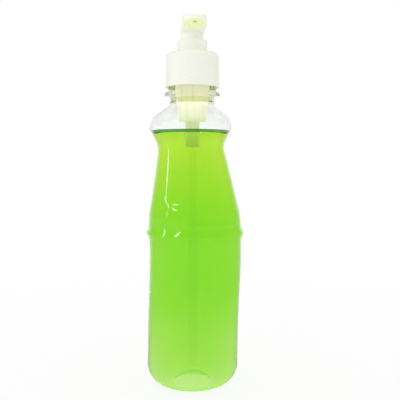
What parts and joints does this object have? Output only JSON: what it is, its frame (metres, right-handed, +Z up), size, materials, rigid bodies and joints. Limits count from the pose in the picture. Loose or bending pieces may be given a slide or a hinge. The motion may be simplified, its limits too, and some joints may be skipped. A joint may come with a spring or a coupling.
{
  "type": "hand soap bottle with lotion pump",
  "caption": "Clear round blown bottle of liquid soap with a waisted grip and a white screw-on lotion pump, whose sprung head is pressed to dispense and turns to aim its nozzle.",
  "frame": {"origin": "centre of the base, in the plane that the bottle stands on", "axes": "+Z up along the bottle's axis, -Y along the nozzle"},
  "size_m": [0.0626, 0.0626, 0.2317],
  "materials": {
    "clear_pet": "clear glossy blown PET",
    "green_soap": "clear yellow-green liquid",
    "white_pp": "moulded white polypropylene, satin",
    "gasket_foam": "soft white closed-cell foam",
    "natural_pp": "milky unpigmented polypropylene",
    "natural_pe": "milky unpigmented polyethylene",
    "glass_ball": "polished glass ball",
    "spring_steel": "bright drawn stainless wire"
  },
  "bodies": {
    "bottle": {"bottle": "clear_pet", "liquid_soap": "green_soap"},
    "pump": {"pump_housing": "natural_pp", "pump_collar": "white_pp", "neck_gasket": "gasket_foam", "dip_tube": "natural_pe", "return_spring": "spring_steel"},
    "cap": {"screw_cap": "white_pp"},
    "stem": {"stem": "white_pp", "stem_plug": "white_pp"},
    "piston": {"piston": "natural_pe"},
    "head": {"pump_head": "white_pp"},
    "ball": {"check_ball": "glass_ball"}
  },
  "joints": [
    {"name": "pump_rise", "type": "slide", "parent": "bottle", "child": "pump", "axis": [0, 0, 1], "range_m": [0, 0.00634]},
    {"name": "cap_unscrew", "type": "hinge", "parent": "pump", "child": "cap", "pos_m": [0, 0, 0.2], "axis": [0, 0, 1], "range_deg": [0, 540]},
    {"name": "head_press", "type": "slide", "parent": "pump", "child": "stem", "axis": [0, 0, 1], "range_m": [-0.005, 0], "stiffness_N_per_m": 400, "springref_m": 0.012, "deforming": ["return_spring"]},
    {"name": "head_turn", "type": "hinge", "parent": "stem", "child": "head", "pos_m": [0, 0, 0.22], "axis": [0, 0, 1], "continuous": true},
    {"name": "piston_play", "type": "slide", "parent": "stem", "child": "piston", "axis": [0, 0, 1], "range_m": [0, 0.00095]},
    {"name": "ball_lift", "type": "slide", "parent": "pump", "child": "ball", "axis": [0, 0, 1], "range_m": [0, 0.0015]}
  ],
  "couplings": [
    {"joint": "cap_unscrew", "follows": "pump_rise", "rad_per_m": 1485.4}
  ]
}
